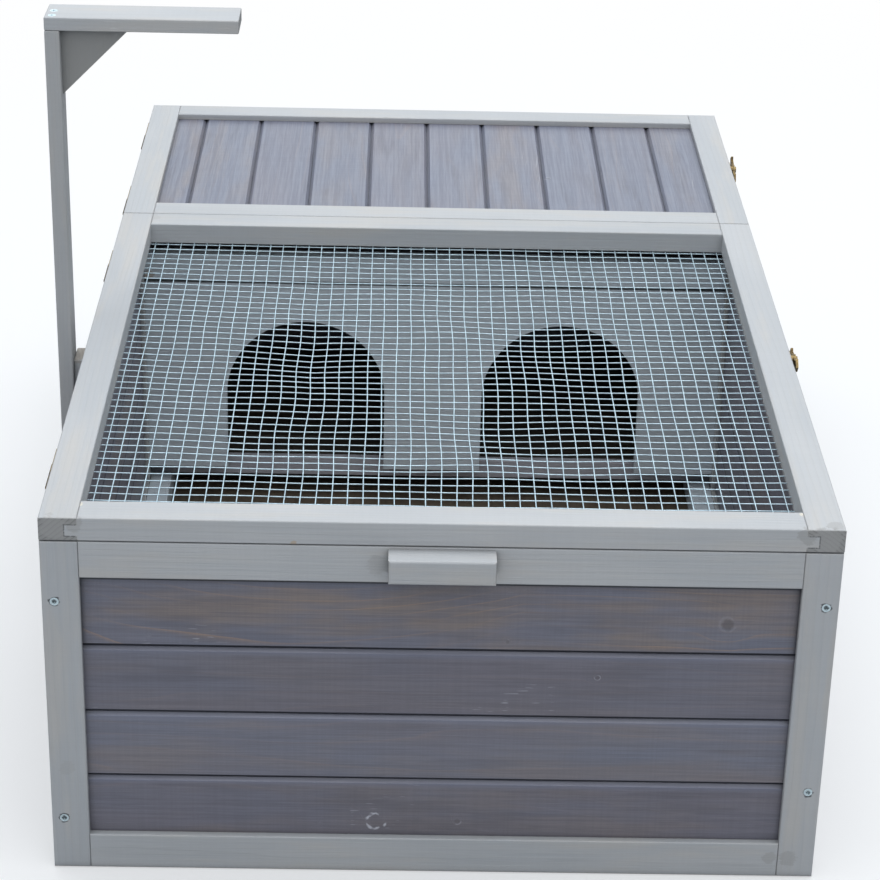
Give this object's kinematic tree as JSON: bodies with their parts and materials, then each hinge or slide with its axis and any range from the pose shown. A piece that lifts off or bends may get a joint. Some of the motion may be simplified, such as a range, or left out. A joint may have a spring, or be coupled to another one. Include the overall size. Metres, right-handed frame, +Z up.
{
  "type": "small-animal hutch",
  "caption": "Low two-room timber hutch with a hinged wire-mesh lid, a hinged boarded lid, two arched doorways inside and a lamp bracket on its left side.",
  "frame": {"origin": "middle of the box's footprint, on the ground (underside of the floor)", "axes": "+X to the viewer's right, +Y from the front wall to the back wall, +Z up"},
  "size_m": [0.6693, 1.04, 0.607],
  "materials": {
    "grey_frame": "pale grey stain on planed softwood",
    "stained_boards": "purple-grey stain on softwood boards with grain and knots",
    "floor_ply": "brown plywood",
    "galvanised_wire": "galvanised wire",
    "zinc_fasteners": "zinc plated",
    "antique_brass": "antique bronzed brass"
  },
  "bodies": {
    "hutch_box": {"back_boards": "stained_boards", "back_bottom_rail": "grey_frame", "back_handle": "grey_frame", "back_left_stile": "grey_frame", "back_right_stile": "grey_frame", "back_top_rail": "grey_frame", "deck_boards": "stained_boards", "deck_front_board": "stained_boards", "doorway_panel": "grey_frame", "floor_bearers": "grey_frame", "front_board_1": "stained_boards", "front_board_2": "stained_boards", "front_board_3": "stained_boards", "front_board_4": "stained_boards", "front_bottom_rail": "grey_frame", "front_handle": "grey_frame", "front_left_stile": "grey_frame", "front_right_stile": "grey_frame", "front_top_rail": "grey_frame", "hinge_box_leaves": "antique_brass", "hinge_pins": "antique_brass", "lamp_arm": "grey_frame", "lamp_block": "grey_frame", "lamp_gusset": "grey_frame", "lamp_post": "grey_frame", "lamp_screws": "zinc_fasteners", "latch_keepers": "antique_brass", "left_wall_back_post": "grey_frame", "left_wall_boards": "stained_boards", "left_wall_bottom_rail": "grey_frame", "left_wall_front_post": "grey_frame", "left_wall_middle_post": "grey_frame", "left_wall_top_rail": "grey_frame", "panel_screws": "zinc_fasteners", "partition_cleats": "grey_frame", "partition_rail": "grey_frame", "right_wall_back_post": "grey_frame", "right_wall_boards": "stained_boards", "right_wall_bottom_rail": "grey_frame", "right_wall_front_post": "grey_frame", "right_wall_middle_post": "grey_frame", "right_wall_top_rail": "grey_frame", "run_floor": "floor_ply"},
    "mesh_lid": {"mesh_lid_left_stile": "grey_frame", "mesh_lid_right_stile": "grey_frame", "mesh_lid_front_rail": "grey_frame", "mesh_lid_back_rail": "grey_frame", "wire_mesh": "galvanised_wire", "mesh_staples": "zinc_fasteners", "mesh_lid_hinge_leaves": "antique_brass", "mesh_latch_base": "antique_brass"},
    "solid_lid": {"solid_lid_left_stile": "grey_frame", "solid_lid_right_stile": "grey_frame", "solid_lid_front_rail": "grey_frame", "solid_lid_back_rail": "grey_frame", "roof_boards": "stained_boards", "solid_lid_hinge_leaves": "antique_brass", "solid_latch_base": "antique_brass"},
    "mesh_latch_wing": {"mesh_latch_wing": "antique_brass"},
    "solid_latch_wing": {"solid_latch_wing": "antique_brass"}
  },
  "joints": [
    {"name": "mesh_lid_hinge", "type": "hinge", "parent": "hutch_box", "child": "mesh_lid", "pos_m": [-0.3175, -0.16925, 0.3046], "axis": [0, -1, 0], "range_deg": [0, 55]},
    {"name": "solid_lid_hinge", "type": "hinge", "parent": "hutch_box", "child": "solid_lid", "pos_m": [-0.3175, 0.33125, 0.3046], "axis": [0, -1, 0], "range_deg": [0, 100]},
    {"name": "mesh_latch_turn", "type": "hinge", "parent": "mesh_lid", "child": "mesh_latch_wing", "pos_m": [0.3192, -0.15125, 0.315], "axis": [1, 0, 0], "range_deg": [0, 96]},
    {"name": "solid_latch_turn", "type": "hinge", "parent": "solid_lid", "child": "solid_latch_wing", "pos_m": [0.3192, 0.34925, 0.315], "axis": [1, 0, 0], "range_deg": [0, 76]}
  ]
}
